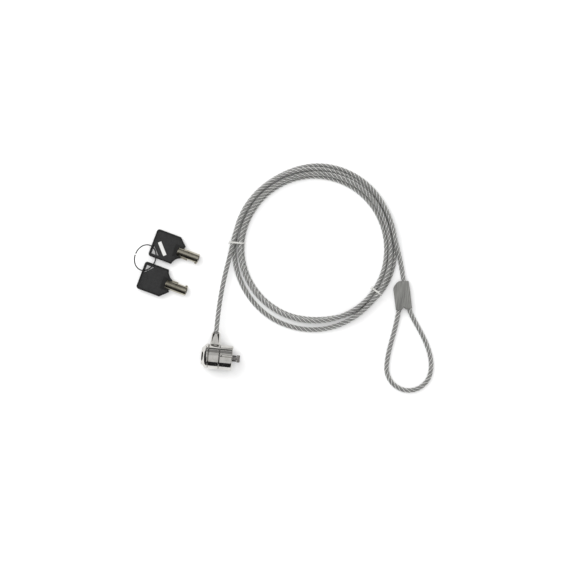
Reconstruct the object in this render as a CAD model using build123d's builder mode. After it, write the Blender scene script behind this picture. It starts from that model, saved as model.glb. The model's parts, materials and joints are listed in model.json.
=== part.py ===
"""Laptop cable lock: keyed T-bar head, wire rope with an anchor loop, and two tubular keys on a ring.

Frame: the origin is the centre of the lock's nose face. +X points out of the nose along the lock's
axis, +Y is the way that the cable boss points, and +Z is up. The lock lies on its side on a table.
"""
from build123d import *
import math
import os

os.makedirs("parts", exist_ok=True)

# ---------------------------------------------------------------- driving dimensions, mm
BODY_R = 10.8                 # outer radius of the lock body
FLOOR_Z = -BODY_R             # the surface that everything lies on

FRONT_LENGTH = 11.1           # front housing, along the axis
FRONT_WALL = 3.0              # wall behind the nose face
CHANNEL_SIDE = 1.35           # floor of the axial channel along the top of the housing
CHANNEL_WIDTH = 1.2
CHANNEL_DEPTH = 0.75
CHANNEL_FLARE = 35.0          # degrees that its walls lean out
COLLAR_FRONT = -11.3          # swivel collar
COLLAR_REAR = -20.6
CAP_FRONT = -20.8             # rear cap
CAP_REAR = -26.7
RIM_EDGE = 0.5                # broken edges where the three sections meet

BARREL_R = 8.0                # steel cylinder in the middle
BARREL_BORE = 6.3
BARREL_FRONT = -3.1
BARREL_REAR = -24.2
BARREL_SPIGOT_R = 6.2         # rear spigot that carries the cap
RUNNING_GAP = 0.05            # radial clearance of every turning fit
NOTCH_WIDTH = 1.5             # notch beside the keyway, for the key's nib
NOTCH_DEPTH = 2.0
RING_GROOVE_REAR = -4.5       # groove of the snap ring that holds the stator
RING_GROOVE_FRONT = -3.7
RING_GROOVE_DEPTH = 0.7
DOWEL_X = -8.0
DOWEL_R = 0.75
DOWEL_INNER = 4.9             # how near the axis the dowel reaches

POST_R = 2.5                  # post in the middle of the keyway
POST_SPIGOT_R = 1.8
POST_REAR = -25.9
KEYWAY_R = 4.15               # mouth that the key's tube enters
PLUG_REAR = -18.0
PLUG_SEAT = PLUG_REAR - 0.1   # the barrel's shoulder behind the plug
SHEAR_LINE = -13.4            # plane between the plug and the stator
STATOR_FRONT = -4.6

PIN_COUNT = 7
FIRST_PIN_ANGLE = 90 - 180 / PIN_COUNT
PIN_RING_R = 3.35
PIN_R = 0.6
PIN_HOLE_R = 0.66
DRIVER_LENGTH = 3.0
SPRING_ROOM = 4.7
KEY_PIN_PROJECTIONS = [0.4, 0.9, 0.6, 1.2, 0.5, 1.0, 0.7]

SPINDLE_R = 1.5
SPINDLE_REAR = SHEAR_LINE - 2.5
SPINDLE_FRONT = -3.1
NECK_R = 1.0
GUIDE_R = 3.8                 # round seat of the nose's guide plate
GUIDE_RECESS = 0.3            # how far its face stands behind the nose face
PRONG_LENGTH = 3.3
PRONG_SPACING = 3.9           # between the two prongs' middles
PRONG_THICKNESS = 1.3
PRONG_WIDTH = 2.4
T_HEAD_REAR = 3.6
T_HEAD_THICKNESS = 2.6
T_HEAD_LENGTH = 6.4
T_HEAD_WIDTH = 2.5

ROPE_D = 4.2                  # wire rope with its clear jacket
ROPE_R = ROPE_D / 2

COLLAR_MID = (COLLAR_FRONT + COLLAR_REAR) / 2
BOSS_TIP = 21.3
BOSS_BASE_R = 4.6
BOSS_TIP_R = 3.75             # just behind the tip's chamfer
BOSS_END_R = 2.75
FACET_START = 10.4            # where the flat facet on top of the boss meets the collar
FACET_HEIGHT = 3.05           # and its height over the axis there
STOP_R = 2.6
STOP_INNER = 8.5
STOP_OUTER = 13.4

COIL_CENTRE = (60.0, 100.7)
COIL_INNER_R = 59.0
COIL_OUTER_R = 73.4
COIL_HEIGHT = 2 * ROPE_D

KEY_DIRECTION = -15.0         # degrees, both keys' axes about Z
KEY_A_REAR = (-77.9, 92.8)    # middle of each bow's rear edge
KEY_B_REAR = (-85.6, 64.0)
BOW_HALF_WIDTH = 12.3
BOW_SIDE = 21.3
BOW_NOSE = 28.0
BOW_HALF_THICKNESS = 1.5
BOW_CORNER_R = 2.4
PANEL_RECESS = 0.6
BOW_RIM = 1.5
KEY_LENGTH = 42.0
TUBE_SEAT = 22.8              # where the tube starts inside the bow
BORE_DEPTH = 12.7
KEY_TUBE_R = 3.95
KEY_Z = FLOOR_Z + KEY_TUBE_R  # height of the keys' axes, tubes resting on the table
KEY_TUBE_BORE = 2.75

RING_R = 11.3
RING_WIRE_R = 0.5
RING_TILT = 43.5              # degrees that the ring leans up from the table
RING_CHORD_S = 4.4            # where its wire crosses the bows: from the rear edge
RING_CHORD_T = 6.4            # and from each key's axis


# ---------------------------------------------------------------- helpers
def axis_plane(x):
    """A plane across the lock's axis at x. Its local x is +Y and its local y is +Z."""
    return Plane(origin=(x, 0, 0), x_dir=(0, 1, 0), z_dir=(1, 0, 0))


def bend_radii(points):
    """The arc radius at each inner corner: 0.45 of the shorter run over the tangent of half the turn."""
    radii = []
    for before, here, after in zip(points, points[1:], points[2:]):
        run_in = Vector(*here) - Vector(*before)
        run_out = Vector(*after) - Vector(*here)
        half_turn = math.radians(run_in.get_angle(run_out)) / 2
        radii.append(0.45 * min(run_in.length, run_out.length) / math.tan(half_turn))
    return radii


def rope_tube(name, points):
    """A round rope along straight runs joined by tangent arcs, in a builder of its own."""
    radii = bend_radii(points)
    with BuildPart() as tube:
        with BuildLine():
            path = FilletPolyline(*points, radius=radii)
        with BuildSketch(Plane(origin=path @ 0, z_dir=path % 0)):
            Circle(ROPE_R)
        sweep(path=path)
    expected = math.pi * ROPE_R**2 * path.length
    print(f"{name}: length {path.length:.1f}, radii {[round(r, 1) for r in radii]},"
          f" volume ratio {tube.part.volume / expected:.4f}")
    return tube


def save(builder, name):
    """Label a finished piece and write it."""
    builder.part.label = name
    export_step(builder.part, f"parts/{name}.step")


# ---------------------------------------------------------------- lock head: housings
with BuildPart() as front_housing:
    with BuildSketch(axis_plane(-FRONT_LENGTH)):
        Circle(BODY_R)
        Circle(BARREL_R, mode=Mode.SUBTRACT)
    extrude(amount=FRONT_LENGTH - FRONT_WALL)
    with BuildSketch(axis_plane(-FRONT_WALL)):
        Circle(BODY_R)
        Circle(GUIDE_R, mode=Mode.SUBTRACT)
    extrude(amount=FRONT_WALL)
    rims = front_housing.edges().filter_by(GeomType.CIRCLE).filter_by(lambda e: e.radius > BODY_R - 0.01)
    fillet(rims.sort_by(Axis.X)[-1], radius=1.0)
    rims = front_housing.edges().filter_by(GeomType.CIRCLE).filter_by(lambda e: e.radius > BODY_R - 0.01)
    fillet(rims.sort_by(Axis.X)[0], radius=RIM_EDGE)
    # the axial channel along the top, with its slanted rear end
    with BuildSketch(Plane.XY.offset(BODY_R - CHANNEL_DEPTH)):
        with BuildLine():
            Polyline((-9.6, CHANNEL_SIDE), (1.0, CHANNEL_SIDE), (1.0, CHANNEL_SIDE + CHANNEL_WIDTH),
                     (-8.8, CHANNEL_SIDE + CHANNEL_WIDTH), close=True)
        make_face()
    extrude(amount=2, taper=-CHANNEL_FLARE, mode=Mode.SUBTRACT)
save(front_housing, "front_housing")

with BuildPart() as guide_plate:
    with BuildSketch(axis_plane(-FRONT_WALL)):
        Circle(GUIDE_R)
    extrude(amount=FRONT_WALL - GUIDE_RECESS)
    with BuildSketch(axis_plane(-GUIDE_RECESS)):
        with GridLocations(PRONG_SPACING, 0, 2, 1):
            RectangleRounded(PRONG_THICKNESS, PRONG_WIDTH, PRONG_THICKNESS / 2 - 0.05)
    extrude(amount=PRONG_LENGTH + GUIDE_RECESS)
    with BuildSketch(axis_plane(-FRONT_WALL)):
        Circle(NECK_R + RUNNING_GAP)
    extrude(amount=FRONT_WALL + PRONG_LENGTH, mode=Mode.SUBTRACT)
save(guide_plate, "guide_plate")

with BuildPart() as rear_cap:
    with BuildSketch(Plane.XZ):
        with BuildLine():
            Line((CAP_FRONT, BARREL_SPIGOT_R), (CAP_FRONT, BODY_R - RIM_EDGE))
            Line((CAP_FRONT, BODY_R - RIM_EDGE), (CAP_FRONT - RIM_EDGE, BODY_R))
            Line((CAP_FRONT - RIM_EDGE, BODY_R), (CAP_FRONT - 0.9, BODY_R))
            Spline((CAP_FRONT - 0.9, BODY_R), (CAP_REAR + 1.1, BODY_R - 3.0), (CAP_REAR, KEYWAY_R + 2.2),
                   tangents=((-1, 0), (0, -1)))
            Line((CAP_REAR, KEYWAY_R + 2.2), (CAP_REAR, KEYWAY_R + 0.7))
            Line((CAP_REAR, KEYWAY_R + 0.7), (CAP_REAR + 0.7, KEYWAY_R))
            Line((CAP_REAR + 0.7, KEYWAY_R), (BARREL_REAR, KEYWAY_R))
            Line((BARREL_REAR, KEYWAY_R), (BARREL_REAR, BARREL_SPIGOT_R))
            Line((BARREL_REAR, BARREL_SPIGOT_R), (CAP_FRONT, BARREL_SPIGOT_R))
        make_face()
    revolve(axis=Axis.X)
    # notch for the key's nib
    with BuildSketch(axis_plane(CAP_REAR)):
        with Locations((0, KEYWAY_R)):
            Rectangle(NOTCH_WIDTH, NOTCH_DEPTH)
    extrude(amount=BARREL_REAR - CAP_REAR, mode=Mode.SUBTRACT)
save(rear_cap, "rear_cap")

with BuildPart() as lock_barrel:
    with BuildSketch(Plane.XZ):
        with BuildLine():
            Polyline((BARREL_FRONT, BARREL_R), (CAP_FRONT, BARREL_R), (CAP_FRONT, BARREL_SPIGOT_R),
                     (BARREL_REAR, BARREL_SPIGOT_R), (BARREL_REAR, KEYWAY_R), (PLUG_SEAT, KEYWAY_R),
                     (PLUG_SEAT, BARREL_BORE), (RING_GROOVE_REAR, BARREL_BORE),
                     (RING_GROOVE_REAR, BARREL_BORE + RING_GROOVE_DEPTH),
                     (RING_GROOVE_FRONT, BARREL_BORE + RING_GROOVE_DEPTH),
                     (RING_GROOVE_FRONT, BARREL_BORE), (BARREL_FRONT, BARREL_BORE), close=True)
        make_face()
    revolve(axis=Axis.X)
    with BuildSketch(axis_plane(BARREL_REAR)):
        with Locations((0, KEYWAY_R)):
            Rectangle(NOTCH_WIDTH, NOTCH_DEPTH)
    extrude(amount=PLUG_SEAT - BARREL_REAR, mode=Mode.SUBTRACT)
    # cross hole for the dowel
    with BuildSketch(Plane.XY.offset(DOWEL_INNER)):
        with Locations((DOWEL_X, 0)):
            Circle(DOWEL_R)
    extrude(amount=BARREL_R, mode=Mode.SUBTRACT)
save(lock_barrel, "lock_barrel")

with BuildPart() as snap_ring:
    with BuildSketch(axis_plane(RING_GROOVE_REAR)):
        Circle(BARREL_BORE + RING_GROOVE_DEPTH - RUNNING_GAP)
        Circle(BARREL_BORE - 1.0, mode=Mode.SUBTRACT)
        with Locations((0, -BARREL_BORE)):
            Rectangle(4.0, 3.0, mode=Mode.SUBTRACT)
    extrude(amount=RING_GROOVE_FRONT - RING_GROOVE_REAR)
save(snap_ring, "snap_ring")

# ---------------------------------------------------------------- lock head: mechanism
with BuildPart() as stator:
    with BuildSketch(axis_plane(SHEAR_LINE)):
        Circle(BARREL_BORE)
        Circle(SPINDLE_R + RUNNING_GAP, mode=Mode.SUBTRACT)
    extrude(amount=STATOR_FRONT - SHEAR_LINE)
    with BuildSketch(axis_plane(SHEAR_LINE)):
        with PolarLocations(PIN_RING_R, PIN_COUNT, start_angle=FIRST_PIN_ANGLE):
            Circle(PIN_HOLE_R)
    extrude(amount=DRIVER_LENGTH + SPRING_ROOM, mode=Mode.SUBTRACT)
    with BuildSketch(Plane.XY.offset(DOWEL_INNER)):
        with Locations((DOWEL_X, 0)):
            Circle(DOWEL_R)
    extrude(amount=BARREL_R, mode=Mode.SUBTRACT)
save(stator, "stator")

with BuildPart() as barrel_dowel:
    with BuildSketch(Plane.XY.offset(DOWEL_INNER)):
        with Locations((DOWEL_X, 0)):
            Circle(DOWEL_R)
    extrude(amount=BARREL_R - DOWEL_INNER - 0.1)
save(barrel_dowel, "barrel_dowel")

with BuildPart() as plug:
    with BuildSketch(axis_plane(PLUG_REAR)):
        Circle(BARREL_BORE - RUNNING_GAP)
        Circle(POST_SPIGOT_R, mode=Mode.SUBTRACT)
    extrude(amount=SPINDLE_REAR - PLUG_REAR)
    with BuildSketch(axis_plane(SPINDLE_REAR)):
        Circle(BARREL_BORE - RUNNING_GAP)
        Circle(SPINDLE_R, mode=Mode.SUBTRACT)
    extrude(amount=SHEAR_LINE - RUNNING_GAP - SPINDLE_REAR)
    with BuildSketch(axis_plane(PLUG_REAR)):
        with PolarLocations(PIN_RING_R, PIN_COUNT, start_angle=FIRST_PIN_ANGLE):
            Circle(PIN_HOLE_R)
    extrude(amount=SHEAR_LINE - PLUG_REAR, mode=Mode.SUBTRACT)
save(plug, "plug")

# the post that the hollow key fits over, pressed into the plug
with BuildPart() as keyway_post:
    with BuildSketch(axis_plane(PLUG_REAR)):
        Circle(POST_R)
    extrude(amount=POST_REAR - PLUG_REAR)
    chamfer(keyway_post.faces().sort_by(Axis.X)[0].edges(), 0.4)
    with BuildSketch(axis_plane(PLUG_REAR)):
        Circle(POST_SPIGOT_R)
    extrude(amount=SPINDLE_REAR - PLUG_REAR)
    # slot along the post, where the key's inner tooth sits
    with BuildSketch(axis_plane(POST_REAR)):
        with Locations((0, POST_R)):
            Rectangle(1.1, 1.4)
    extrude(amount=5.5, mode=Mode.SUBTRACT)
save(keyway_post, "keyway_post")

with BuildPart() as t_bar:
    with BuildSketch(axis_plane(SPINDLE_REAR)):
        Circle(SPINDLE_R)
    extrude(amount=SPINDLE_FRONT - SPINDLE_REAR)
    with BuildSketch(axis_plane(SPINDLE_FRONT)):
        Circle(NECK_R)
    extrude(amount=T_HEAD_REAR - SPINDLE_FRONT)
    with BuildSketch(axis_plane(T_HEAD_REAR)):
        Circle(T_HEAD_LENGTH / 2)
        Rectangle(T_HEAD_LENGTH + 1, T_HEAD_WIDTH, mode=Mode.INTERSECT)
    extrude(amount=T_HEAD_THICKNESS)
    chamfer(t_bar.faces().sort_by(Axis.X)[-1].edges(), 0.3)
save(t_bar, "t_bar")

with BuildPart() as key_pins:
    for index, projection in enumerate(KEY_PIN_PROJECTIONS):
        angle = math.radians(FIRST_PIN_ANGLE + index * 360 / PIN_COUNT)
        pin_y = PIN_RING_R * math.cos(angle)
        pin_z = PIN_RING_R * math.sin(angle)
        with BuildSketch(axis_plane(PLUG_REAR - projection)):
            with Locations((pin_y, pin_z)):
                Circle(PIN_R)
        extrude(amount=SHEAR_LINE - RUNNING_GAP - PLUG_REAR + projection)
save(key_pins, "key_pins")

with BuildPart() as driver_pins:
    with BuildSketch(axis_plane(SHEAR_LINE)):
        with PolarLocations(PIN_RING_R, PIN_COUNT, start_angle=FIRST_PIN_ANGLE):
            Circle(PIN_R)
    extrude(amount=DRIVER_LENGTH)
save(driver_pins, "driver_pins")

SPRING_WIRE_R = 0.1
SPRING_COIL_R = PIN_R - SPRING_WIRE_R
SPRING_START = SHEAR_LINE + DRIVER_LENGTH + SPRING_WIRE_R + 0.02
SPRING_LENGTH = SPRING_ROOM - 2 * SPRING_WIRE_R - 0.04
with BuildPart() as one_spring:
    with BuildLine():
        spring_line = Helix(pitch=SPRING_LENGTH / 6, height=SPRING_LENGTH, radius=SPRING_COIL_R)
    with BuildSketch(Plane(origin=spring_line @ 0, z_dir=spring_line % 0)):
        Circle(SPRING_WIRE_R)
    sweep(path=spring_line, is_frenet=True)

with BuildPart() as pin_springs:
    for index in range(PIN_COUNT):
        angle = math.radians(FIRST_PIN_ANGLE + index * 360 / PIN_COUNT)
        pin_y = PIN_RING_R * math.cos(angle)
        pin_z = PIN_RING_R * math.sin(angle)
        with Locations(Plane(origin=(SPRING_START, pin_y, pin_z), x_dir=(0, 1, 0), z_dir=(1, 0, 0))):
            add(one_spring.part)
save(pin_springs, "pin_springs")

# ---------------------------------------------------------------- swivel collar and its boss
BOSS_AXIS = Axis(origin=(COLLAR_MID, 0, 0), direction=(0, 1, 0))
with BuildPart() as anchor_collar:
    with BuildSketch(axis_plane(COLLAR_REAR)):
        Circle(BODY_R)
    extrude(amount=COLLAR_FRONT - COLLAR_REAR)
    chamfer(anchor_collar.edges().filter_by(GeomType.CIRCLE), RIM_EDGE)
    with BuildSketch(Plane.XY):
        with BuildLine():
            Polyline((COLLAR_MID, 7.0), (COLLAR_MID + BOSS_BASE_R, 7.0), (COLLAR_MID + BOSS_BASE_R, 9.6),
                     (COLLAR_MID + BOSS_TIP_R, BOSS_TIP - 1.7), (COLLAR_MID + BOSS_END_R, BOSS_TIP),
                     (COLLAR_MID, BOSS_TIP), close=True)
        make_face()
    revolve(axis=BOSS_AXIS)
    # flat facet along the top of the boss
    facet = Plane(origin=(COLLAR_MID, FACET_START, FACET_HEIGHT), x_dir=(1, 0, 0), z_dir=(0, -0.07, 1))
    with BuildSketch(facet):
        with Locations((0, 7.0)):
            Rectangle(14, 14)
    extrude(amount=6, mode=Mode.SUBTRACT)
    with BuildSketch(axis_plane(COLLAR_REAR - 1)):
        Circle(BARREL_R + 2 * RUNNING_GAP)
    extrude(amount=COLLAR_FRONT - COLLAR_REAR + 2, mode=Mode.SUBTRACT)
    with BuildSketch(Plane(origin=(COLLAR_MID, 6.0, 0), x_dir=(1, 0, 0), z_dir=(0, 1, 0))):
        Circle(STOP_R)
    extrude(amount=STOP_OUTER - 6.0, mode=Mode.SUBTRACT)
    with BuildSketch(Plane(origin=(COLLAR_MID, STOP_OUTER, 0), x_dir=(1, 0, 0), z_dir=(0, 1, 0))):
        Circle(ROPE_R + RUNNING_GAP)
    extrude(amount=BOSS_TIP - STOP_OUTER + 1, mode=Mode.SUBTRACT)
save(anchor_collar, "anchor_collar")

with BuildPart() as cable_stop:
    with BuildSketch(Plane(origin=(COLLAR_MID, STOP_INNER, 0), x_dir=(1, 0, 0), z_dir=(0, 1, 0))):
        Circle(STOP_R)
    extrude(amount=STOP_OUTER - STOP_INNER)
    chamfer(cable_stop.edges().filter_by(GeomType.CIRCLE).sort_by(Axis.Y)[0], 0.4)
save(cable_stop, "cable_stop")

# ---------------------------------------------------------------- wire rope
LEAD_ROUTE = [
    (COLLAR_MID, STOP_OUTER, 0.0),
    (COLLAR_MID - 0.1, 30.0, 0.0),
    (COLLAR_MID + 0.3, 43.5, -1.2),
    (-14.8, 57.5, -3.2),
    (-13.0, 74.0, -4.4),
    (-10.5, 88.5, -4.6),
    (-7.6, 100.5, -5.2),
]
TAIL_ROUTE = [
    (125.0, 127.5, -6.6),
    (129.9, 114.5, -7.6),
    (134.2, 101.5, -8.4),
    (137.6, 89.7, -8.2),
    (140.1, 79.8, -7.4),
    (141.75, 73.0, -7.3),
]
EYE_ROUTE = [
    (141.75, 73.0, -7.3),
    (143.1, 67.5, -7.3),
    (146.2, 57.4, -7.4),
    (150.9, 49.2, -7.9),
    (157.3, 40.2, -8.5),
    (163.6, 30.4, -8.7),
    (168.6, 20.0, -8.7),
    (171.3, 8.9, -8.7),
    (169.7, -2.9, -8.7),
    (161.7, -11.7, -8.7),
    (150.0, -14.3, -8.7),
    (138.9, -9.7, -8.7),
    (132.5, 0.3, -8.7),
    (132.4, 12.6, -8.7),
    (134.3, 25.5, -8.7),
    (136.6, 39.0, -8.5),
    (138.0, 51.0, -7.8),
    (138.6, 59.0, -7.3),
    (139.5, 65.0, -7.3),
]
cable_lead = rope_tube("cable_lead", LEAD_ROUTE)
save(cable_lead, "cable_lead")
cable_tail = rope_tube("cable_tail", TAIL_ROUTE)
save(cable_tail, "cable_tail")
cable_eye = rope_tube("cable_eye", EYE_ROUTE)
save(cable_eye, "cable_eye")

with BuildPart() as cable_coil:
    with BuildSketch(Plane.XZ.offset(-COIL_CENTRE[1])):
        with Locations((COIL_CENTRE[0] + (COIL_INNER_R + COIL_OUTER_R) / 2, FLOOR_Z + COIL_HEIGHT / 2)):
            RectangleRounded(COIL_OUTER_R - COIL_INNER_R, COIL_HEIGHT, ROPE_R)
    revolve(axis=Axis((COIL_CENTRE[0], COIL_CENTRE[1], 0), (0, 0, 1)))
save(cable_coil, "cable_coil")

TIE_THICKNESS = 0.5
TIE_WIDTH = 1.0
for tie_name, tie_angle in (("tie_left", -178.5), ("tie_right", -29.0)):
    turn = math.radians(tie_angle)
    outward = Vector(math.cos(turn), math.sin(turn), 0)
    along = Vector(-math.sin(turn), math.cos(turn), 0)
    middle = Vector(COIL_CENTRE[0], COIL_CENTRE[1], FLOOR_Z + COIL_HEIGHT / 2)
    middle = middle + outward * ((COIL_INNER_R + COIL_OUTER_R) / 2)
    band_width = COIL_OUTER_R - COIL_INNER_R
    with BuildPart() as tie:
        with BuildSketch(Plane(origin=middle - along * (TIE_WIDTH / 2), x_dir=outward, z_dir=along)):
            RectangleRounded(band_width + 2 * TIE_THICKNESS, COIL_HEIGHT + 2 * TIE_THICKNESS,
                             ROPE_R + TIE_THICKNESS)
            RectangleRounded(band_width + 0.5, COIL_HEIGHT + 0.1, ROPE_R, mode=Mode.SUBTRACT)
        extrude(amount=TIE_WIDTH)
        split(bisect_by=Plane.XY.offset(FLOOR_Z), keep=Keep.TOP)
    save(tie, tie_name)

# ---------------------------------------------------------------- grey sleeve and its ferrule
BOOT_PLANE = Plane(origin=(138.7, 73.7, -7.3), x_dir=(0.981, 0.193, 0), z_dir=(0, 0, 1))
BOOT_HALF_THICKNESS = -7.3 - FLOOR_Z
with BuildPart() as crimp_boot:
    with BuildSketch(BOOT_PLANE.offset(-BOOT_HALF_THICKNESS)):
        with BuildLine():
            Line((-6.5, -18.5), (-6.9, -1.0))
            Spline((-6.9, -1.0), (-4.9, 3.4), (-1.2, 6.2), tangents=((0, 1), (1, 0.35)))
            Line((-1.2, 6.2), (6.5, 5.6))
            Line((6.5, 5.6), (6.9, -1.0))
            Line((6.9, -1.0), (7.2, -18.1))
            Line((7.2, -18.1), (2.1, -18.5))
            Line((2.1, -18.5), (0.2, -16.2))
            Line((0.2, -16.2), (-1.8, -18.8))
            Line((-1.8, -18.8), (-6.5, -18.5))
        make_face()
    extrude(amount=2 * BOOT_HALF_THICKNESS)
    fillet(crimp_boot.faces().filter_by(Axis.Z).edges(), radius=0.8)
with BuildPart() as crimp_sleeve:
    with BuildSketch(BOOT_PLANE.offset(-2.9)):
        with Locations((0.2, -6.5)):
            RectangleRounded(10.8, 13.0, 1.2)
    extrude(amount=5.8)
    add(cable_tail.part, mode=Mode.SUBTRACT)
    add(cable_eye.part, mode=Mode.SUBTRACT)
with crimp_boot:
    with BuildSketch(BOOT_PLANE.offset(-2.9)):
        with Locations((0.2, -6.5)):
            RectangleRounded(10.8, 13.0, 1.2)
    extrude(amount=5.8, mode=Mode.SUBTRACT)
    add(cable_tail.part, mode=Mode.SUBTRACT)
    add(cable_eye.part, mode=Mode.SUBTRACT)
save(crimp_sleeve, "crimp_sleeve")
save(crimp_boot, "crimp_boot")

# ---------------------------------------------------------------- keys and their ring
KEY_TURN = math.radians(KEY_DIRECTION)
KEY_AXIS = Vector(math.cos(KEY_TURN), math.sin(KEY_TURN), 0)
KEY_SIDE = Vector(-math.sin(KEY_TURN), math.cos(KEY_TURN), 0)


def key_plane(rear, side):
    """A level plane at a bow's rear edge: local x runs along the key, local y away from the ring hole."""
    normal = (0, 0, side)
    return Plane(origin=(rear[0], rear[1], KEY_Z), x_dir=KEY_AXIS, z_dir=normal)


def across_key(base, along, hole_side=0.0):
    """A plane across a key, some way along it, shifted towards the ring hole's side."""
    origin = base.origin + KEY_AXIS * along - base.y_dir * hole_side
    return Plane(origin=origin, x_dir=(0, 0, 1), z_dir=KEY_AXIS)


def bow_outline():
    """The bow's outline: a chamfered front corner on one side and a hollow arc on the other."""
    side = BOW_HALF_WIDTH
    with BuildSketch() as outline:
        with BuildLine():
            Line((0, -side + BOW_CORNER_R), (0, side - BOW_CORNER_R))
            RadiusArc((0, side - BOW_CORNER_R), (BOW_CORNER_R, side), BOW_CORNER_R)
            Line((BOW_CORNER_R, side), (BOW_SIDE, side))
            Line((BOW_SIDE, side), (BOW_NOSE, 5.8))
            Line((BOW_NOSE, 5.8), (BOW_NOSE - 0.9, 4.6))
            Line((BOW_NOSE - 0.9, 4.6), (BOW_NOSE - 0.9, -5.0))
            RadiusArc((BOW_NOSE - 0.9, -5.0), (BOW_SIDE, -side), -9.0)
            Line((BOW_SIDE, -side), (BOW_CORNER_R, -side))
            RadiusArc((BOW_CORNER_R, -side), (0, -side + BOW_CORNER_R), BOW_CORNER_R)
        make_face()
    return outline.sketch


def make_key(letter, rear, side, with_insert):
    """One key: plastic bow, plated tube and, in one of them, the plain bar insert."""
    base = key_plane(rear, side)
    with BuildPart() as bow:
        with BuildSketch(base.offset(-BOW_HALF_THICKNESS)):
            add(bow_outline())
        extrude(amount=2 * BOW_HALF_THICKNESS)
        fillet(bow.faces().filter_by(Axis.Z).edges(), radius=0.5)
        # recessed panel on both faces
        for panel_floor in (BOW_HALF_THICKNESS - PANEL_RECESS, -BOW_HALF_THICKNESS):
            with BuildSketch(base.offset(panel_floor)):
                add(bow_outline())
                offset(amount=-BOW_RIM, mode=Mode.REPLACE)
                with Locations((BOW_SIDE + 3.0, 0)):
                    Rectangle(10, 11, mode=Mode.SUBTRACT)
            extrude(amount=PANEL_RECESS, mode=Mode.SUBTRACT)
        # triangular hole for the ring
        with BuildSketch(base.offset(-4)):
            with BuildLine():
                Polyline((2.2, -9.5), (2.2, -2.7), (8.7, -9.5), close=True)
            make_face()
        extrude(amount=8, mode=Mode.SUBTRACT)
        # round seat of the key's tube, open at both faces
        with BuildSketch(across_key(base, TUBE_SEAT)):
            Circle(KEY_TUBE_R)
        extrude(amount=20, mode=Mode.SUBTRACT)
        if with_insert:
            with BuildSketch(base.offset(BOW_HALF_THICKNESS - PANEL_RECESS - 0.4)):
                with Locations(Location((9.6, -2.7, 0), (0, 0, -48))):
                    Rectangle(12.5, 3.1)
            extrude(amount=0.4, mode=Mode.SUBTRACT)
    save(bow, f"key_{letter}_bow")
    if with_insert:
        with BuildPart() as insert:
            with BuildSketch(base.offset(BOW_HALF_THICKNESS - PANEL_RECESS - 0.4)):
                with Locations(Location((9.6, -2.7, 0), (0, 0, -48))):
                    Rectangle(12.5, 3.1)
            extrude(amount=0.8)
            chamfer(insert.faces().sort_by(Axis.Z)[-1].edges(), 0.15)
        save(insert, f"key_{letter}_insert")
    with BuildPart() as tube:
        with BuildSketch(across_key(base, TUBE_SEAT)):
            Circle(KEY_TUBE_R)
        extrude(amount=KEY_LENGTH - TUBE_SEAT)
        chamfer(tube.edges().filter_by(GeomType.CIRCLE), 0.3)
        # rib from the bow to the middle of the tube, and the nib at its tip
        for rib_start, rib_length, rib_height in ((BOW_SIDE + 5.9, 5.6, 0.9), (KEY_LENGTH - 2.4, 1.9, 1.0)):
            with BuildSketch(across_key(base, rib_start, KEY_TUBE_R + rib_height / 2 - 0.4)):
                Rectangle(1.2, rib_height + 0.8)
            extrude(amount=rib_length)
        with BuildSketch(across_key(base, KEY_LENGTH - BORE_DEPTH)):
            Circle(KEY_TUBE_BORE)
        extrude(amount=BORE_DEPTH, mode=Mode.SUBTRACT)
    save(tube, f"key_{letter}_tube")
    return bow, tube


key_a_bow, key_a_tube = make_key("a", KEY_A_REAR, 1, True)
key_b_bow, key_b_tube = make_key("b", KEY_B_REAR, -1, False)

# the ring's circle leans on its chord, which crosses both bows' holes
CROSS_A = Vector(*KEY_A_REAR, KEY_Z) + KEY_AXIS * RING_CHORD_S - KEY_SIDE * RING_CHORD_T
CROSS_B = Vector(*KEY_B_REAR, KEY_Z) + KEY_AXIS * RING_CHORD_S + KEY_SIDE * RING_CHORD_T
CHORD_MIDDLE = (CROSS_A + CROSS_B) * 0.5
CHORD_HALF = (CROSS_A - CROSS_B).length / 2
CENTRE_BACK = math.sqrt(RING_R**2 - CHORD_HALF**2)
LEAN = math.radians(RING_TILT)
RING_SLOPE = KEY_AXIS * math.cos(LEAN) - Vector(0, 0, math.sin(LEAN))
RING_CENTRE = CHORD_MIDDLE - RING_SLOPE * CENTRE_BACK
RING_NORMAL = KEY_SIDE.cross(RING_SLOPE)
with BuildPart() as key_ring:
    with BuildLine(Plane(origin=RING_CENTRE, x_dir=-RING_SLOPE, z_dir=RING_NORMAL)):
        ring_line = CenterArc((0, 0), RING_R, 2.5, 355)
    with BuildSketch(Plane(origin=ring_line @ 0, z_dir=ring_line % 0)):
        Circle(RING_WIRE_R)
    sweep(path=ring_line)
save(key_ring, "key_ring")
print("ring centre", RING_CENTRE, "crossings", CROSS_A, CROSS_B)
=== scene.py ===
"""Laptop cable lock: the looks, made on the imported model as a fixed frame.

Everything is in metres, in the CAD frame: the origin is the middle of the lock's nose, X runs out of
the nose along the lock, Y the way the cable leaves its boss, and Z is up from the table.
"""

import json
import math

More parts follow.
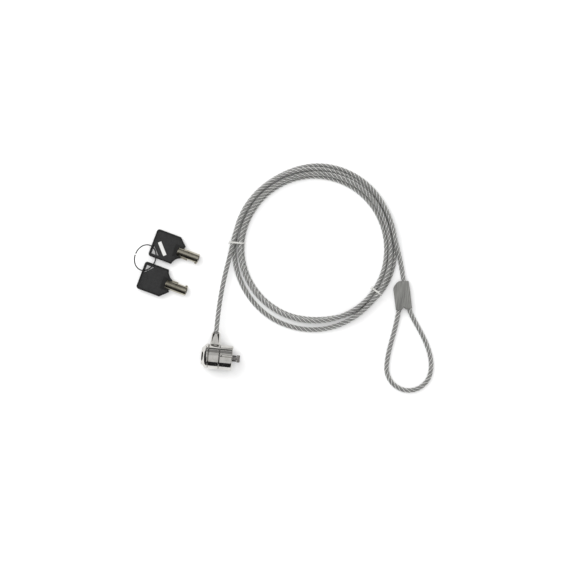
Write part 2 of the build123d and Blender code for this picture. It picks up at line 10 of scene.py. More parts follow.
import bpy
import numpy as np
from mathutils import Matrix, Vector


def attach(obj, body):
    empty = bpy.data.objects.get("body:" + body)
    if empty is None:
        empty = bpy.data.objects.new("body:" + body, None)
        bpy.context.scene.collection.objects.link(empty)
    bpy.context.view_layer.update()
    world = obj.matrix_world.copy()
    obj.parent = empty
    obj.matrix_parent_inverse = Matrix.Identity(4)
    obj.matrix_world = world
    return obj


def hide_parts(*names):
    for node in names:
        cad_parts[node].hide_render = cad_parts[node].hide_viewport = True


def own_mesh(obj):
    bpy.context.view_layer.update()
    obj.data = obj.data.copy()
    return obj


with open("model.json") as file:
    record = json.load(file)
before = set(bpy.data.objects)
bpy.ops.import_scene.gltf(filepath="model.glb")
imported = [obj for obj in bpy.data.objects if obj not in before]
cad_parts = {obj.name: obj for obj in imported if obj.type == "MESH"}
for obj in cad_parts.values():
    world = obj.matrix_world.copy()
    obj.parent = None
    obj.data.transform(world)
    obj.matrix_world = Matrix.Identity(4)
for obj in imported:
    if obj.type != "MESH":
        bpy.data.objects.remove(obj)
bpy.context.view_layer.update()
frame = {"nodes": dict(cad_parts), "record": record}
nodes = frame["nodes"]

# The surface that everything lies on, and how far above it the lowest drawn points stay.
FLOOR_Z = -0.0108
FLOOR_GAP = 0.00003

# ---------------------------------------------------------------- camera

# The middle of the picture on the table, and how wide the picture is at the height VIEW_LEVEL.
VIEW_CENTRE = (0.0387, 0.0668)
VIEW_ROLL = math.radians(5.5)
VIEW_WIDTH = 0.490
VIEW_LEVEL = -0.006
LENS = 100.0
SENSOR = 36.0
NEAR_CLIP = 0.01


def add_camera():
    """The photograph looks straight down, with the lock turned by a few degrees."""
    data = bpy.data.cameras.new("camera")
    data.lens = LENS
    data.sensor_width = SENSOR
    data.clip_start = NEAR_CLIP
    camera = bpy.data.objects.new("camera", data)
    height = VIEW_WIDTH * LENS / SENSOR
    camera.location = (*VIEW_CENTRE, VIEW_LEVEL + height)
    camera.rotation_euler = (0.0, 0.0, VIEW_ROLL)
    bpy.context.scene.collection.objects.link(camera)
    bpy.context.scene.camera = camera


# ---------------------------------------------------------------- the cable's route

# Metres: the rope's diameter.
ROPE_D = 0.0042

# Millimetres: the middle of the coil. Degrees: the direction where the coil's own count starts, and the
# step between its points. The curve runs a little inside its points, so they stand out by a factor.
COIL_MIDDLE = (60.0, 100.7)
COIL_ZERO = 185.5
COIL_STEP = 15
NURBS_CUT = 1.0043

# The directions of the two ties in degrees, and how far (mm) and how widely (degrees) they lift the ropes.
TIE_LEFT = -178.5
TIE_RIGHT = -29.0
TIE_LIFT = 0.5
TIE_LIFT_SPREAD = 9.0

# Millimetres, as in part.py: from the cable stop in the boss to the coil, whose own points then take over.
LEAD = [
    (-15.95, 13.4, 0.0),
    (-16.05, 30.0, 0.0),
    (-15.65, 43.5, -1.2),
    (-14.8, 57.5, -3.2),
    (-13.0, 74.0, -4.4),
    (-10.5, 88.5, -4.6),
]

# The coil, followed round in the photograph: degrees clockwise from the left, radius and height in mm.
# Between two of these the rope changes evenly. It goes round nearly three and a half times.
COIL = [
    (6, 68.9, -4.5),
    (15, 67.6, -4.5),
    (60, 67.9, -4.5),
    (90, 68.3, -5.4),
    (105, 68.4, -6.9),
    (120, 68.5, -8.2),
    (135, 68.5, -8.7),
    (165, 70.0, -8.7),
    (195, 70.7, -8.7),
    (210, 70.1, -8.7),
    (225, 67.9, -8.7),
    (240, 64.9, -8.7),
    (255, 62.4, -8.7),
    (270, 61.3, -8.7),
    (360, 61.7, -8.7),
    (390, 61.3, -8.7),
    (420, 61.5, -8.7),
    (450, 62.2, -8.7),
    (495, 62.6, -8.7),
    (540, 63.1, -8.7),
    (560, 63.7, -8.5),
    (575, 64.0, -7.4),
    (585, 64.0, -5.6),
    (600, 63.6, -4.6),
    (620, 63.0, -4.6),
    (660, 62.6, -4.6),
    (720, 63.6, -4.9),
    (750, 63.0, -4.7),
    (795, 63.8, -4.9),
    (825, 65.0, -4.8),
    (855, 66.2, -5.2),
    (885, 66.2, -6.2),
    (900, 66.6, -6.4),
    (915, 67.7, -5.3),
    (930, 68.2, -4.6),
    (945, 68.4, -4.5),
    (960, 69.2, -4.9),
    (975, 70.2, -7.5),
    (990, 70.6, -8.7),
    (1020, 70.5, -8.7),
    (1050, 69.3, -8.7),
    (1080, 68.5, -8.7),
    (1140, 68.5, -8.7),
    (1155, 69.7, -8.7),
    (1170, 71.4, -8.7),
    (1185, 72.2, -8.7),
    (1205, 72.4, -8.6),
    (1220, 71.6, -6.0),
    (1235, 70.4, -4.4),
    (1255, 70.3, -4.2),
]

# Millimetres: from the coil to the grey sleeve, then round the anchor loop and back into the sleeve, as in
# part.py. Only the first point is higher here, where the rope comes down over the turn beside it.
TAIL = [
    (134.3, 100.8, -6.3),
    (137.6, 89.7, -8.2),
    (140.1, 79.8, -7.4),
]
EYE = [
    (143.1, 67.5, -7.3),
    (146.2, 57.4, -7.4),
    (150.9, 49.2, -7.9),
    (157.3, 40.2, -8.5),
    (163.6, 30.4, -8.7),
    (168.6, 20.0, -8.7),
    (171.3, 8.9, -8.7),
    (169.7, -2.9, -8.7),
    (161.7, -11.7, -8.7),
    (150.0, -14.3, -8.7),
    (138.9, -9.7, -8.7),
    (132.5, 0.3, -8.7),
    (132.4, 12.6, -8.7),
    (134.3, 25.5, -8.7),
    (136.6, 39.0, -8.5),
    (138.0, 51.0, -7.8),
    (138.6, 59.0, -7.3),
    (139.5, 65.0, -7.3),
]


# How finely the curve is cut along its length and round its section.
CURVE_STEPS = 12
SKIN_STEPS = 3


def tie_lift(angle):
    """The ropes lie on the ties' plastic, so they are a little higher there."""
    lift = 0.0
    for tie in (TIE_LEFT, TIE_RIGHT):
        away = (angle - tie + 180.0) % 360.0 - 180.0
        lift += TIE_LIFT * math.exp(-((away / TIE_LIFT_SPREAD) ** 2))
    return lift


def coil_points():
    """A point at every step round the coil, from the radius and height at each place."""
    places = [row[0] for row in COIL]
    radii = [row[1] for row in COIL]
    heights = [row[2] for row in COIL]
    turns = [places[0]] + list(range(COIL_STEP, places[-1], COIL_STEP)) + [places[-1]]
    points = []
    for turn in turns:
        radius = float(np.interp(turn, places, radii)) * NURBS_CUT
        height = float(np.interp(turn, places, heights))
        angle = COIL_ZERO - turn
        x = COIL_MIDDLE[0] + radius * math.cos(math.radians(angle))
        y = COIL_MIDDLE[1] + radius * math.sin(math.radians(angle))
        points.append((x, y, height + tie_lift(angle)))
    return points


def add_route():
    """One open NURBS curve along the whole cable."""
    points = LEAD + coil_points() + TAIL + EYE
    data = bpy.data.curves.new("cable_jacket", "CURVE")
    data.dimensions = "3D"
    data.resolution_u = CURVE_STEPS
    spline = data.splines.new("NURBS")
    spline.points.add(len(points) - 1)
    for place, point in zip(spline.points, points):
        place.co = (*(value / 1000 for value in point), 1.0)
    spline.order_u = 3
    spline.use_endpoint_u = True
    curve = bpy.data.objects.new("cable_jacket", data)
    bpy.context.scene.collection.objects.link(curve)
    return curve


def centreline(curve):
    """The points of the curve's own line."""
    bpy.context.view_layer.update()
    evaluated = curve.evaluated_get(bpy.context.evaluated_depsgraph_get())
    line = bpy.data.meshes.new_from_object(evaluated)
    points = np.array([v.co for v in line.vertices], float)
    bpy.data.meshes.remove(line)
    return points


def along(points):
    """How far along the line each point is."""
    steps = np.linalg.norm(np.diff(points, axis=0), axis=1)
    return np.concatenate(([0.0], np.cumsum(steps)))


def even_points(points, step):
    """Points a step apart on the same line."""
    distance = along(points)
    count = int(distance[-1] / step)
    wanted = np.linspace(0.0, distance[-1], count + 1)
    return wanted, np.stack([np.interp(wanted, distance, points[:, i]) for i in range(3)], axis=1)


def carried_frames(points):
    """Two directions across the line at each point, carried along it with no twist."""
    tangent = np.gradient(points, axis=0)
    tangent /= np.linalg.norm(tangent, axis=1)[:, None]
    side = np.cross(tangent[0], (0.0, 0.0, 1.0))
    side /= np.linalg.norm(side)
    sides = [side]
    for t in tangent[1:]:
        side = sides[-1] - t * np.dot(sides[-1], t)
        sides.append(side / np.linalg.norm(side))
    sides = np.array(sides)
    return sides, np.cross(tangent, sides)


# ---------------------------------------------------------------- the wire rope

# Six strands round a core. LAY is the length of one full twist, RING_STEP the length between two rings of
# the mesh, and WIRE_STEP the length after which the wires in a strand repeat.
STRANDS = 6
STRAND_R = 0.00068
STRAND_ARC = 240
LAY = 0.0126
RING_STEP = 0.00092
ROUND_STRAND = 8
WIRE_STEP = 0.00142


def rope_section():
    """The outline of six strands round a core: angle, radius and the place across its strand."""
    outline = []
    for strand in range(STRANDS):
        middle = 2 * math.pi * strand / STRANDS
        for k in range(ROUND_STRAND):
            share = k / ROUND_STRAND
            turn = math.radians(STRAND_ARC * (share - 0.5))
            x = 2 * STRAND_R + STRAND_R * math.cos(turn)
            y = STRAND_R * math.sin(turn)
            outline.append((middle + math.atan2(y, x), math.hypot(x, y), strand + share))
    return outline


def tube_mesh(name, rings, capped=True):
    """A smooth mesh over rings with the same number of points each, with its ends capped."""
    count, around = rings.shape[0], rings.shape[1]
    first = np.arange(count - 1)[:, None] * around + np.arange(around)[None, :]
    following = np.arange(count - 1)[:, None] * around + (np.arange(around)[None, :] + 1) % around
    faces = np.stack([first, following, following + around, first + around], axis=2).reshape(-1, 4)
    ends = []
    if capped:
        ends = [list(range(around))[::-1], list(range((count - 1) * around, count * around))]
    mesh = bpy.data.meshes.new(name)
    mesh.from_pydata(rings.reshape(-1, 3).tolist(), [], faces.tolist() + ends)
    mesh.polygons.foreach_set("use_smooth", [True] * len(mesh.polygons))
    mesh.update()
    return mesh


def add_object(name, mesh):
    piece = bpy.data.objects.new(name, mesh)
    bpy.context.scene.collection.objects.link(piece)
    return piece


def add_strands(points):
    """The steel rope inside the jacket: six twisted strands, with a map for its wires."""
    distance, line = even_points(points, RING_STEP)
    sides, ups = carried_frames(line)
    outline = rope_section()
    rings = np.zeros((len(line), len(outline), 3))
    for k, (angle, radius, _) in enumerate(outline):
        turned = angle + 2 * math.pi * distance / LAY
        rings[:, k] = line + radius * (
            np.cos(turned)[:, None] * sides + np.sin(turned)[:, None] * ups
        )
    mesh = tube_mesh("cable_strands", rings)
    uv = mesh.uv_layers.new(name="strands")
    across = np.array([row[2] for row in outline] + [float(STRANDS)])
    around = len(outline)
    values = np.zeros((len(mesh.loops), 2))
    corner = 0
    for ring in range(len(line) - 1):
        low, high = distance[ring] / WIRE_STEP, distance[ring + 1] / WIRE_STEP
        block = np.stack(
            [
                np.stack([across[:around], np.full(around, low)], axis=1),
                np.stack([across[1:], np.full(around, low)], axis=1),
                np.stack([across[1:], np.full(around, high)], axis=1),
                np.stack([across[:around], np.full(around, high)], axis=1),
            ],
            axis=1,
        )
        values[corner : corner + 4 * around] = block.reshape(-1, 2)
        corner += 4 * around
    uv.data.foreach_set("uv", values.reshape(-1))
    return add_object("cable_strands", mesh)


# ---------------------------------------------------------------- the ties

TIE_WIDTH = 0.0015
TIE_THICK = 0.00045
TIE_GAP = 0.00004
TIE_WAVE = 0.00012
TIE_AROUND = 96

# The pressed end: its length, how far it drops at its start and bends down and aside at its tip, and its
# section, which is a share of the band's width and grows towards the tip.
END_LENGTH = 0.0013
END_DROP = 0.0010
END_BEND = 0.0022
END_DRIFT = 0.0006
END_WIDE = 0.62
END_FLARE = 0.25
END_THICK = 0.00032
END_STEPS = 9
END_AROUND = 8

# Only a rope this far from the middle of the coil, in metres, belongs to the bundle in a tie.
BUNDLE_FROM = 0.05
BUNDLE_TO = 0.08


def bundle(points, angle):
    """Where the ropes pass an angle round the coil: each one's radius and height."""
    middle = np.array(COIL_MIDDLE) / 1000
    out = np.array((math.cos(math.radians(angle)), math.sin(math.radians(angle))))
    across = np.array((-out[1], out[0]))
    flat = points[:, :2] - middle
    radius = flat @ out
    past = flat @ across
    found = []
    for i in range(len(points) - 1):
        if BUNDLE_FROM < radius[i] < BUNDLE_TO and past[i] * past[i + 1] < 0:
            share = past[i] / (past[i] - past[i + 1])
            found.append(
                (
                    radius[i] + share * (radius[i + 1] - radius[i]),
                    points[i, 2] + share * (points[i + 1, 2] - points[i, 2]),
                )
            )
    return np.array(found), out, across


def add_tie(name, points, angle):
    """A thin clear band drawn tight round the ropes at one direction from the coil's middle."""
    ropes, out, across = bundle(points, angle)
    middle = np.array(COIL_MIDDLE) / 1000
    half = TIE_WIDTH / 2
    section = [
        (-half, 0.15),
        (-half, 0.8),
        (-0.7 * half, 1.0),
        (0.7 * half, 1.0),
        (half, 0.8),
        (half, 0.15),
        (0.7 * half, 0.0),
        (-0.7 * half, 0.0),
    ]
    rings = np.zeros((TIE_AROUND + 1, len(section), 3))
    for k in range(TIE_AROUND + 1):
        turn = 2 * math.pi * k / TIE_AROUND
        direction = np.array((math.cos(turn), math.sin(turn)))
        farthest = ropes[np.argmax(ropes @ direction)]
        wave = TIE_WAVE * math.sin(2 * turn + angle)
        for j, (wide, thick) in enumerate(section):
            place = farthest + direction * (ROPE_D / 2 + TIE_GAP + thick * TIE_THICK)
            plan = middle + out * place[0] + across * (wide + wave)
            rings[k, j] = (plan[0], plan[1], max(place[1], FLOOR_Z + FLOOR_GAP))
    return add_object(name, tube_mesh(name, rings, capped=False))


def add_tie_end(name, points, angle, inward):
    """The short pressed end that stands off the band beside the coil."""
    ropes, out, across = bundle(points, angle)
    middle = np.array(COIL_MIDDLE) / 1000
    edge = ropes[:, 0].min() if inward else ropes[:, 0].max()
    sign = -1.0 if inward else 1.0
    top = float(ropes[:, 1].max())
    rings = np.zeros((END_STEPS, END_AROUND, 3))
    for k in range(END_STEPS):
        share = k / (END_STEPS - 1)
        plan = middle + out * (edge + sign * (ROPE_D / 2 + TIE_THICK * 0.6 + END_LENGTH * share))
        plan = plan + across * (END_DRIFT * share * share)
        height = top - END_DROP - END_BEND * share * share
        for j in range(END_AROUND):
            turn = 2 * math.pi * j / END_AROUND
            wide = TIE_WIDTH * END_WIDE * math.cos(turn) * (1 + END_FLARE * share)
            tall = END_THICK * math.sin(turn)
            spot = plan + across * wide
            rings[k, j] = (spot[0], spot[1], height + tall)
    return add_object(name, tube_mesh(name, rings))


# ---------------------------------------------------------------- materials

# The height of the keys' middle, half the thickness of a bow's sunk panel, and where its raised rim begins
# and ends in colour above that. All plastic pieces with a rim colour are bows.
KEY_Z = -0.00685
PANEL_Z = 0.0009
RIM_START = 0.00005
RIM_END = 0.0003

# How far the sleeve is turned on the table, so that its streaks run along it.
STREAK_TURN = math.radians(-11.1)


class Surface:
    """One node material: a Principled shader and the nodes that feed it."""

    def __init__(self, name):
        self.material = bpy.data.materials.new(name)
        self.material.use_nodes = True
        self.tree = self.material.node_tree
        self.shader = self.tree.nodes["Principled BSDF"]
        self.place = self.add("ShaderNodeTexCoord").outputs["Object"]

    def add(self, kind, **settings):
        node = self.tree.nodes.new(kind)
        for key, value in settings.items():
            setattr(node, key, value)
        return node

    def join(self, source, target):
        self.tree.links.new(source, target)

    def set(self, **values):
        for key, value in values.items():
            self.shader.inputs[key.replace("_", " ")].default_value = value

    def turned(self, angle, scale):
        """The place, turned about Z by an angle and stretched by a scale for each axis."""
        node = self.add("ShaderNodeMapping")
        node.inputs["Rotation"].default_value = (0.0, 0.0, angle)
        node.inputs["Scale"].default_value = scale
        self.join(self.place, node.inputs["Vector"])
        return node.outputs["Vector"]

    def noise(self, scale, detail, roughness=0.55, place=None):
        node = self.add("ShaderNodeTexNoise")
        node.inputs["Scale"].default_value = scale
        node.inputs["Detail"].default_value = detail
        node.inputs["Roughness"].default_value = roughness
        self.join(self.place if place is None else place, node.inputs["Vector"])
        return node.outputs["Fac"]

    def span(self, value, low, high, start=0.3, end=0.7):
        """The value, spread from low to high between start and end."""
        node = self.add("ShaderNodeMapRange")
        node.inputs["From Min"].default_value = start
        node.inputs["From Max"].default_value = end
        node.inputs["To Min"].default_value = low
        node.inputs["To Max"].default_value = high
        self.join(value, node.inputs["Value"])
        return node.outputs["Result"]

    def mix(self, share, first, second):
        """Two colours, or an earlier mix, by a share."""
        node = self.add("ShaderNodeMix", data_type="RGBA")
        colours = [s for s in node.inputs if s.type == "RGBA"]
        factors = [s for s in node.inputs if s.type == "VALUE" and s.name == "Factor"]
        for value, socket in ((first, colours[0]), (second, colours[1])):
            if isinstance(value, tuple):
                socket.default_value = (*value, 1.0)
            else:
                self.join(value, socket)
        self.join(share, factors[0])
        return [s for s in node.outputs if s.type == "RGBA"][0]

    def maths(self, operation, first, second=None):
        node = self.add("ShaderNodeMath", operation=operation)
        for value, socket in ((first, node.inputs[0]), (second, node.inputs[1])):
            if value is None:
                continue
            if isinstance(value, (int, float)):
                socket.default_value = value
            else:
                self.join(value, socket)
        return node.outputs[0]

    def edges(self, reach):
        """1 along the edges and 0 on the flats, for wear."""
        bevel = self.add("ShaderNodeBevel", samples=6)
        bevel.inputs["Radius"].default_value = reach
        flat = self.add("ShaderNodeNewGeometry").outputs["Normal"]
        dot = self.add("ShaderNodeVectorMath", operation="DOT_PRODUCT")
        self.join(bevel.outputs["Normal"], dot.inputs[0])
        self.join(flat, dot.inputs[1])
        return self.span(dot.outputs["Value"], 1.0, 0.0, 0.86, 0.995)

    def corners(self, reach, alone=False):
        """1 down in grooves and corners, where shade falls, for painted shade there. Alone, only the piece's
        own surface counts.
        """
        shade = self.add("ShaderNodeAmbientOcclusion", samples=8, only_local=alone)
        shade.inputs["Distance"].default_value = reach
        return self.span(shade.outputs["AO"], 1.0, 0.0, 0.50, 0.86)

    def bump(self, height, depth, strength, before=None):
        node = self.add("ShaderNodeBump")
        node.inputs["Strength"].default_value = strength
        node.inputs["Distance"].default_value = depth
        self.join(height, node.inputs["Height"])
        if before is not None:
            self.join(before, node.inputs["Normal"])
        return node.outputs["Normal"]

    def colour(self, socket):
        self.join(socket, self.shader.inputs["Base Color"])

    def roughness(self, socket):
        self.join(socket, self.shader.inputs["Roughness"])

    def normal(self, socket):
        self.join(socket, self.shader.inputs["Normal"])


def plated(name, colour, dark, rough, smudge, wear):
    """Polished plating: mottling, worn edges, painted shade in its corners, fingerprints and hairline
    scratches.
    """
    s = Surface(name)
    s.set(Metallic=1.0)
    mottle = s.span(s.noise(160.0, 3.0), 0.0, 1.0)
    worn = s.maths("MULTIPLY", s.edges(0.00018), s.span(s.noise(900.0, 4.0), 0.0, 0.8))
    rubbed = s.mix(worn, s.mix(mottle, colour, dark), wear)
    # Painted shade: the colour goes towards near black (0.05, 0.047, 0.04) in corners and grooves, where
    # shade falls.
    painted_shade = s.maths("MULTIPLY", s.corners(0.0010), 0.85)
    s.colour(s.mix(painted_shade, rubbed, (0.05, 0.047, 0.04)))
    hairlines = s.noise(1.0, 2.0, place=s.turned(math.radians(38), (5200.0, 260.0, 1500.0)))
    prints = s.span(s.noise(320.0, 6.0, 0.65), rough, smudge, 0.42, 0.72)
    s.roughness(s.maths("ADD", prints, s.span(hairlines, 0.0, 0.05, 0.62, 0.8)))
    orange = s.bump(s.noise(700.0, 2.0), 0.000012, 0.5)
    s.normal(s.bump(hairlines, 0.000004, 0.4, orange))
    return s.material


def turned_metal(name, colour, dark, rough, axis, pitch):
    """Metal from a lathe: fine rings along its axis, with stains and a dull film."""
    s = Surface(name)
    s.set(Metallic=1.0)
    wave = s.add("ShaderNodeTexWave", wave_type="BANDS", bands_direction=axis)
    wave.inputs["Scale"].default_value = 1.0 / pitch / 20.0
    wave.inputs["Distortion"].default_value = 1.2
    wave.inputs["Detail"].default_value = 3.0
    s.join(s.place, wave.inputs["Vector"])
    rings = wave.outputs["Fac"]
    stain = s.span(s.noise(420.0, 5.0, 0.6), 0.0, 1.0, 0.35, 0.75)
    s.colour(s.mix(stain, colour, dark))
    film = s.span(stain, rough, rough + 0.16, 0.0, 1.0)
    s.roughness(s.maths("ADD", film, s.span(rings, 0.0, 0.06, 0.0, 1.0)))
    s.normal(s.bump(rings, 0.000006, 0.6, s.bump(s.noise(2600.0, 3.0), 0.000004, 0.5)))
    return s.material


def rope_steel():
    """Bright strands with the wires in each, painted shade in the grooves of the strands and wires, and
    painted shade where turns of the rope lie against each other.
    """
    s = Surface("rope_steel")
    s.set(Metallic=0.6)
    uv = s.add("ShaderNodeUVMap", uv_map="strands").outputs["UV"]
    split = s.add("ShaderNodeSeparateXYZ")
    s.join(uv, split.inputs[0])
    across = s.maths("FRACT", split.outputs["X"])
    off_middle = s.maths("MULTIPLY", s.maths("ABSOLUTE", s.maths("SUBTRACT", across, 0.5)), 2.0)
    # Painted shade: the grooves of the strands go nearly black (0.004), as shade there.
    painted_groove_shade = s.span(off_middle, 0.0, 1.0, 0.52, 0.86)
    phase = s.maths("ADD", s.maths("MULTIPLY", split.outputs["X"], 4.0), split.outputs["Y"])
    wire = s.maths("SINE", s.maths("MULTIPLY", phase, 2 * math.pi))
    # Painted shade: where the wires meet, the colour goes about a third of the way towards dark grey.
    between = s.span(wire, 1.0, 0.0, -1.0, -0.2)
    patch = s.span(s.noise(140.0, 4.0), 0.0, 1.0)
    clean = s.mix(patch, (1.0, 1.0, 0.98), (0.90, 0.90, 0.88))
    strand = s.maths("FLOOR", split.outputs["X"])
    every_second = s.maths("MODULO", strand, 2.0)
    bright = s.mix(s.maths("MULTIPLY", every_second, 0.66), clean, (0.20, 0.20, 0.19))
    wires = s.mix(s.maths("MULTIPLY", between, 0.35), bright, (0.20, 0.20, 0.19))
    # Painted shade: where turns of the rope lie against each other, the colour goes towards near black
    # (0.02).
    painted_seam_shade = s.maths("MULTIPLY", s.corners(0.0020, alone=True), 0.34)
    s.colour(s.mix(painted_seam_shade, s.mix(painted_groove_shade, wires, (0.004, 0.004, 0.004)), (0.02, 0.02, 0.019)))
    s.roughness(s.span(s.noise(900.0, 4.0), 0.24, 0.42))
    s.normal(s.bump(wire, 0.00005, 0.8, s.bump(s.noise(5000.0, 2.0), 0.000004, 0.4)))
    return s.material


def clear_jacket():
    """Soft clear plastic over the rope: a thin glossy film, a little smoky and cloudy."""
    s = Surface("clear_jacket")
    milk = s.span(s.noise(90.0, 4.0), 0.0, 1.0)
    s.colour(s.mix(milk, (0.09, 0.09, 0.085), (0.05, 0.05, 0.047)))
    s.join(s.span(s.noise(260.0, 5.0, 0.6), 0.03, 0.09), s.shader.inputs["Alpha"])
    s.roughness(s.span(s.noise(500.0, 6.0, 0.65), 0.10, 0.34, 0.4, 0.75))
    s.set(IOR=1.5)
    s.normal(s.bump(s.noise(420.0, 3.0), 0.00004, 0.5))
    return s.material


def clear_tie():
    """Thin clear film, creased and a little white where it is bent."""
    s = Surface("clear_tie")
    crease = s.noise(2200.0, 5.0, 0.6)
    s.colour(s.mix(s.span(crease, 0.0, 1.0), (0.74, 0.74, 0.71), (0.60, 0.60, 0.57)))
    s.join(s.span(crease, 0.50, 0.78), s.shader.inputs["Alpha"])
    s.roughness(s.span(s.noise(1500.0, 3.0), 0.12, 0.35))
    s.set(IOR=1.48)
    s.normal(s.bump(crease, 0.00006, 0.6))
    return s.material


def moulded(name, colour, shade, worn, rough, grain, rim=None):
    """Satin moulded plastic: spark-eroded grain, uneven gloss, rubbed edges and fine scratches."""
    s = Surface(name)
    patch = s.span(s.noise(520.0, 5.0, 0.62), 0.0, 1.0)
    speck = s.span(s.noise(3800.0, 3.0), 0.0, 0.5, 0.45, 0.7)
    base = s.mix(speck, s.mix(patch, colour, shade), worn)
    if rim is not None:
        split = s.add("ShaderNodeSeparateXYZ")
        s.join(s.place, split.inputs[0])
        away = s.maths("ABSOLUTE", s.maths("SUBTRACT", split.outputs["Z"], KEY_Z))
        base = s.mix(s.span(away, 0.0, 1.0, PANEL_Z + RIM_START, PANEL_Z + RIM_END), base, rim)
    rubbed = s.maths("MULTIPLY", s.edges(0.00022), s.span(s.noise(1300.0, 4.0), 0.05, 0.75))
    s.colour(s.mix(rubbed, base, worn))
    scratch = s.noise(1.0, 2.0, place=s.turned(math.radians(-52), (3600.0, 190.0, 900.0)))
    uneven = s.span(patch, rough, rough + 0.12, 0.0, 1.0)
    s.roughness(s.maths("SUBTRACT", uneven, s.span(scratch, 0.0, 0.12, 0.6, 0.78)))
    s.set(IOR=1.46)
    s.normal(s.bump(s.noise(4200.0, 2.0), grain, 0.7, s.bump(scratch, 0.000010, 0.5)))
    return s.material


def grey_sleeve():
    """Matte grey moulding with streaks where it flowed along the ropes."""
    s = Surface("grey_sleeve")
    lengthwise = s.turned(STREAK_TURN, (900.0, 60.0, 500.0))
    streak = s.noise(1.0, 5.0, 0.6, place=lengthwise)
    flow = s.mix(s.span(streak, 0.0, 1.0, 0.36, 0.66), (0.105, 0.105, 0.099), (0.225, 0.225, 0.213))
    scuff = s.span(s.noise(1500.0, 6.0, 0.7), 0.0, 0.55, 0.56, 0.76)
    base = s.mix(scuff, flow, (0.27, 0.27, 0.258))
    rubbed = s.maths("MULTIPLY", s.edges(0.0004), s.span(s.noise(800.0, 3.0), 0.1, 0.8))
    s.colour(s.mix(rubbed, base, (0.33, 0.33, 0.315)))
    s.roughness(s.span(streak, 0.46, 0.66))
    s.set(IOR=1.47)
    fine = s.bump(s.noise(2600.0, 3.0), 0.00003, 0.5)
    s.normal(s.bump(streak, 0.00012, 0.7, fine))
    return s.material


def make_materials():
    """Every material by its name, which is a slot of the record for most of them."""
    return {
        "chrome": plated(
            "chrome",
            colour=(0.66, 0.65, 0.625),
            dark=(0.52, 0.51, 0.48),
            rough=0.05,
            smudge=0.17,
            wear=(0.44, 0.41, 0.34),
        ),
        "nickel": plated(
            "nickel",
            colour=(0.50, 0.475, 0.40),
            dark=(0.34, 0.315, 0.25),
            rough=0.08,
            smudge=0.22,
            wear=(0.42, 0.34, 0.20),
        ),
        "gunmetal": plated(
            "gunmetal",
            colour=(0.12, 0.115, 0.11),
            dark=(0.07, 0.065, 0.06),
            rough=0.16,
            smudge=0.3,
            wear=(0.30, 0.29, 0.26),
        ),
        "head_steel": plated(
            "head_steel",
            colour=(0.34, 0.33, 0.32),
            dark=(0.20, 0.19, 0.18),
            rough=0.12,
            smudge=0.28,
            wear=(0.52, 0.50, 0.46),
        ),
        "steel": turned_metal("steel", (0.58, 0.58, 0.58), (0.36, 0.35, 0.34), 0.22, "X", 0.0003),
        "brass": turned_metal("brass", (0.72, 0.53, 0.26), (0.45, 0.30, 0.13), 0.20, "X", 0.0003),
        "aluminium": turned_metal("aluminium", (0.72, 0.73, 0.74), (0.5, 0.51, 0.52), 0.3, "Y", 0.0004),
        "ring_wire": turned_metal("ring_wire", (0.13, 0.13, 0.13), (0.06, 0.06, 0.06), 0.25, "Z", 0.0002),
        "black_plastic": moulded(
            "black_plastic",
            colour=(0.015, 0.015, 0.0155),
            shade=(0.007, 0.007, 0.0075),
            worn=(0.046, 0.046, 0.046),
            rough=0.50,
            grain=0.00003,
            rim=(0.004, 0.004, 0.004),
        ),
        "white_plastic": moulded(
            "white_plastic",
            colour=(0.66, 0.66, 0.65),
            shade=(0.58, 0.58, 0.57),
            worn=(0.50, 0.50, 0.48),
            rough=0.3,
            grain=0.000015,
        ),
        "grey_sleeve": grey_sleeve(),
        "clear_tie": clear_tie(),
        "rope_steel": rope_steel(),
        "clear_jacket": clear_jacket(),
    }


# Where the material's name isn't the slot's, and the two nodes that are darker than their slot.
SLOT_MATERIALS = {"rope": "rope_steel"}
NODE_MATERIALS = {"t_bar": "head_steel", "guide_plate": "gunmetal"}


def add_springs(material):
    """The pin springs again, as one piece of their own, carried by the lock head."""
    springs = add_object("pin_springs_coils", nodes["pin_springs"].data.copy())
    springs.data.materials.clear()
    springs.data.materials.append(material)
    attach(springs, "lock_head")
    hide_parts("pin_springs")
    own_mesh(springs)


def dress_nodes(materials):
    """Every CAD node gets the material of its slot in the record, or its own where one is named."""
    for part in frame["record"]["subparts"]:
        slot = part["material_slot"]
        material = materials[NODE_MATERIALS.get(part["node"], SLOT_MATERIALS.get(slot, slot))]
        data = nodes[part["node"]].data
        data.materials.clear()
        data.materials.append(material)


# ---------------------------------------------------------------- floor and light

# Half the table's width, how far it lies under the object, and the order of a board's corners.
FLOOR_REACH = 4.0
FLOOR_DROP = 0.00002
CORNER_SIGNS = [(-1, -1), (1, -1), (1, 1), (-1, 1)]


def add_floor():
    """A plain pale table, large enough for every view."""
    s = Surface("floor")
    s.colour(s.mix(s.span(s.noise(3.0, 3.0), 0.0, 1.0), (0.90, 0.90, 0.90), (0.885, 0.885, 0.885)))
    s.roughness(s.span(s.noise(8.0, 2.0), 0.75, 0.85))
    level = FLOOR_Z - FLOOR_DROP
    corners = [(x * FLOOR_REACH, y * FLOOR_REACH, level) for x, y in CORNER_SIGNS]
    mesh = bpy.data.meshes.new("floor")
    mesh.from_pydata(corners, [], [(0, 1, 2, 3)])
    mesh.materials.append(s.material)
    add_object("floor", mesh)


def add_card(name, middle, first, second, tone):
    """A dark or grey board round the table, by its middle and two edges. It shows only in reflections."""
    s = Surface(name)
    s.set(Roughness=0.9)
    s.shader.inputs["Base Color"].default_value = (tone, tone, tone, 1.0)
    halves = Vector(first) / 2, Vector(second) / 2
    corners = [Vector(middle) + halves[0] * a + halves[1] * b for a, b in CORNER_SIGNS]
    mesh = bpy.data.meshes.new(name)
    mesh.from_pydata([tuple(corner) for corner in corners], [], [(0, 1, 2, 3)])
    mesh.materials.append(s.material)
    card = add_object(name, mesh)
    card.visible_camera = False
    card.visible_diffuse = False
    card.visible_shadow = False
    card.visible_transmission = False


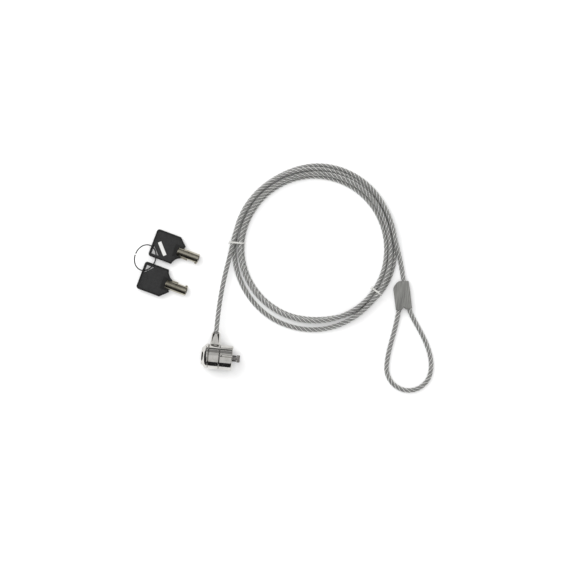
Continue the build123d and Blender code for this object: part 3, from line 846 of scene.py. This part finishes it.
def add_light(name, place, size, power, in_gloss):
    """A square lamp that faces the middle of the object. Out of the gloss, it doesn't show in reflections."""
    data = bpy.data.lights.new(name, "AREA")
    data.shape = "RECTANGLE"
    data.size = size
    data.size_y = size
    data.energy = power
    light = bpy.data.objects.new(name, data)
    light.location = place
    aim = Vector(STUDIO_MIDDLE) - Vector(place)
    light.rotation_euler = aim.to_track_quat("-Z", "Y").to_euler()
    light.visible_glossy = in_gloss
    bpy.context.scene.collection.objects.link(light)


STUDIO_MIDDLE = (0.05, 0.06, 0.0)
ROOM_STRENGTH = 0.80

# Each board's name, middle, two edges and grey.
CARDS = [
    ("card_below", (0.0, -0.36, 0.16), (1.4, 0, 0), (0, 0, 0.35), 0.01),
    ("card_left", (-0.36, 0.05, 0.40), (0, 0.9, 0), (0, 0, 0.82), 0.02),
    ("card_right", (0.50, 0.00, 0.30), (0, 0.9, 0), (0, 0, 0.62), 0.03),
    ("card_near", (-0.11, -0.05, 0.07), (0, 0.17, 0), (0, 0, 0.16), 0.01),
    ("card_above", (0.0, 0.50, 0.10), (1.2, 0, 0), (0, 0, 0.16), 0.10),
    ("card_far", (0.0, 0.66, 0.48), (1.6, 0, 0), (0, 0.30, -0.26), 0.26),
    ("card_over", (0.0, 0.36, 0.76), (1.6, 0, 0), (0, 0.30, -0.26), 0.60),
    ("card_corner", (-0.22, -0.35, 0.40), (0.27, 0, 0), (0, 0, 0.80), 0.02),
    ("card_high", (-0.27, -0.22, 1.02), (0.28, 0, 0), (0, 0.26, 0.46), 0.12),
]


def add_studio():
    """Soft light from the photograph's upper left and from above, and a pale room all round."""
    world = bpy.data.worlds.new("studio")
    world.use_nodes = True
    ground = world.node_tree.nodes["Background"]
    ground.inputs["Color"].default_value = (1.0, 1.0, 1.0, 1.0)
    ground.inputs["Strength"].default_value = ROOM_STRENGTH
    bpy.context.scene.world = world
    add_light("key_light", (-0.70, 0.75, 1.15), size=0.9, power=8.5, in_gloss=True)
    add_light("top_light", (0.03, 0.10, 1.30), size=0.7, power=6.0, in_gloss=False)
    for card in CARDS:
        add_card(*card)
    bpy.context.scene.view_settings.view_transform = "Standard"


# ---------------------------------------------------------------- the object

add_camera()
jacket = add_route()
line = centreline(jacket)
strands = add_strands(line)
jacket.data.bevel_depth = ROPE_D / 2
jacket.data.bevel_resolution = SKIN_STEPS
jacket.data.use_fill_caps = True

materials = make_materials()
dress_nodes(materials)
add_springs(materials["steel"])

jacket.data.materials.append(materials["clear_jacket"])
strands.data.materials.append(materials["rope_steel"])
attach(jacket, "cable")
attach(strands, "cable")
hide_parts("cable_lead", "cable_coil", "cable_tail", "cable_eye")

# Each tie's node, its direction, and whether its end stands inside the coil.
for tie_name, tie_angle, inward in (("tie_left", TIE_LEFT, False), ("tie_right", TIE_RIGHT, True)):
    band = add_tie(tie_name + "_band", line, tie_angle)
    end = add_tie_end(tie_name + "_end", line, tie_angle, inward)
    for piece in (band, end):
        piece.data.materials.append(materials["clear_tie"])
        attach(piece, "cable")
    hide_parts(tie_name)

add_floor()
add_studio()
